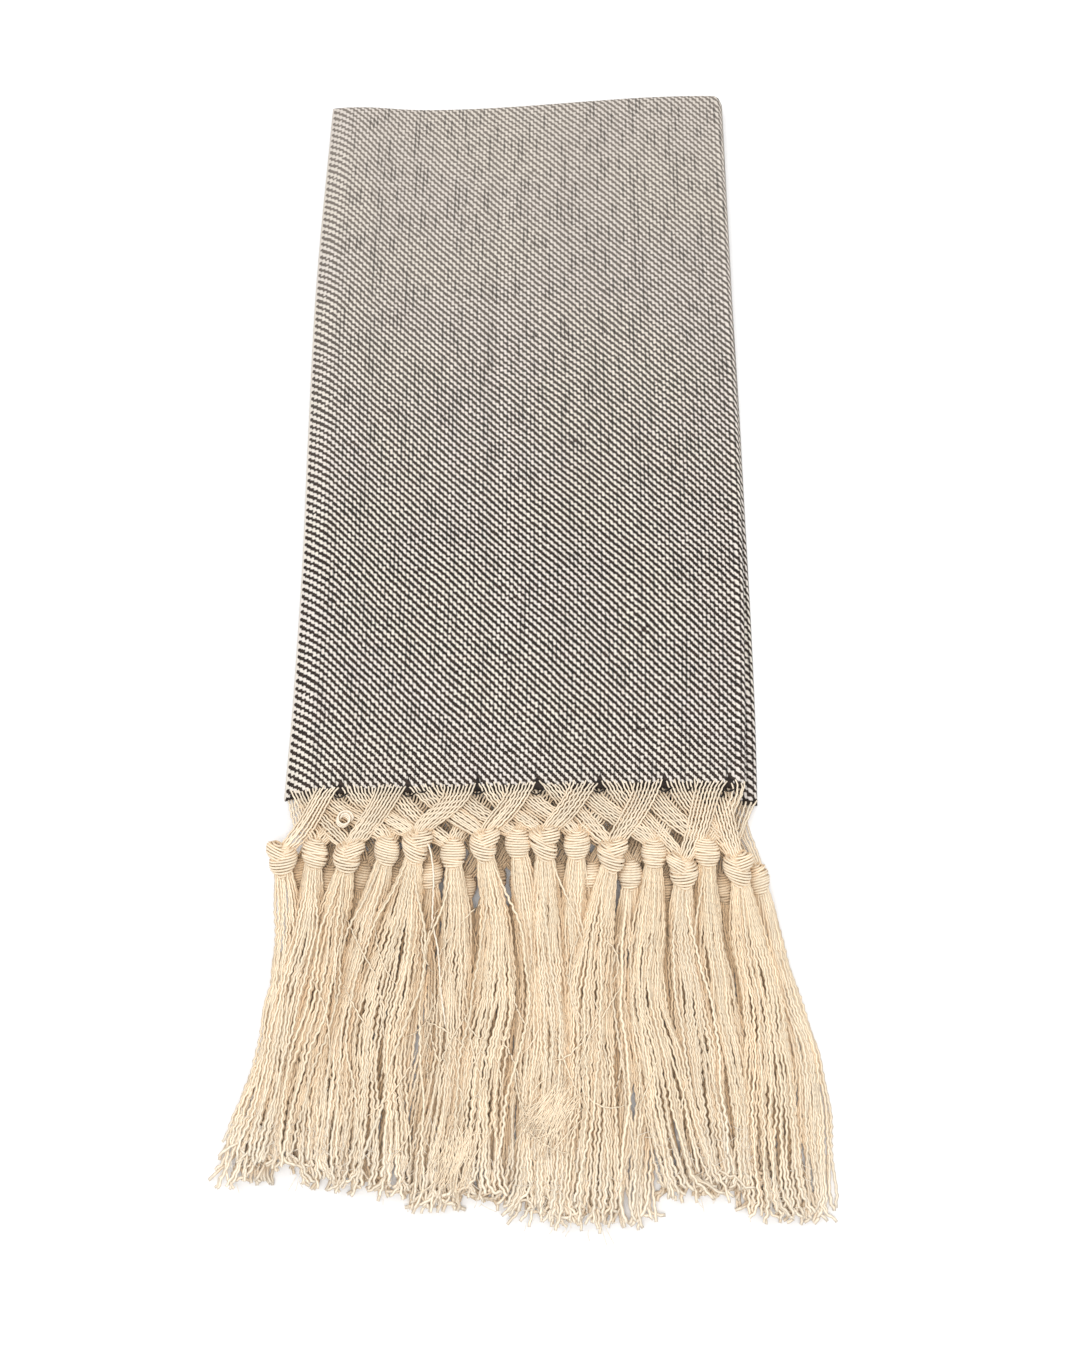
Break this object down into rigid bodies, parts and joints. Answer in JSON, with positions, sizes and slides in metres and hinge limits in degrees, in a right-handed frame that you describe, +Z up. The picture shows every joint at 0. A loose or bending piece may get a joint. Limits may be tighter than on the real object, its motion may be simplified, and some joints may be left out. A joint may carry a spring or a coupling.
{
  "type": "hand towel",
  "caption": "Handwoven twill hand towel, folded lengthwise and crosswise and lying flat, with knotted fringes and long tassels at its open end.",
  "frame": {"origin": "on the surface that the towel lies on, under the middle of the whole towel, fringes included", "axes": "+X across the towel, from the selvedges to the lengthwise fold; +Y from the fringes to the crosswise fold; +Z up"},
  "size_m": [0.2428, 0.5366, 0.0176],
  "materials": {
    "twill": "matte cotton twill, natural warp and dark weft",
    "natural_yarn": "matte natural cotton yarn"
  },
  "bodies": {
    "root": {"cloth": "twill", "fringe_upper": "natural_yarn", "fringe_lower": "natural_yarn"}
  },
  "joints": []
}
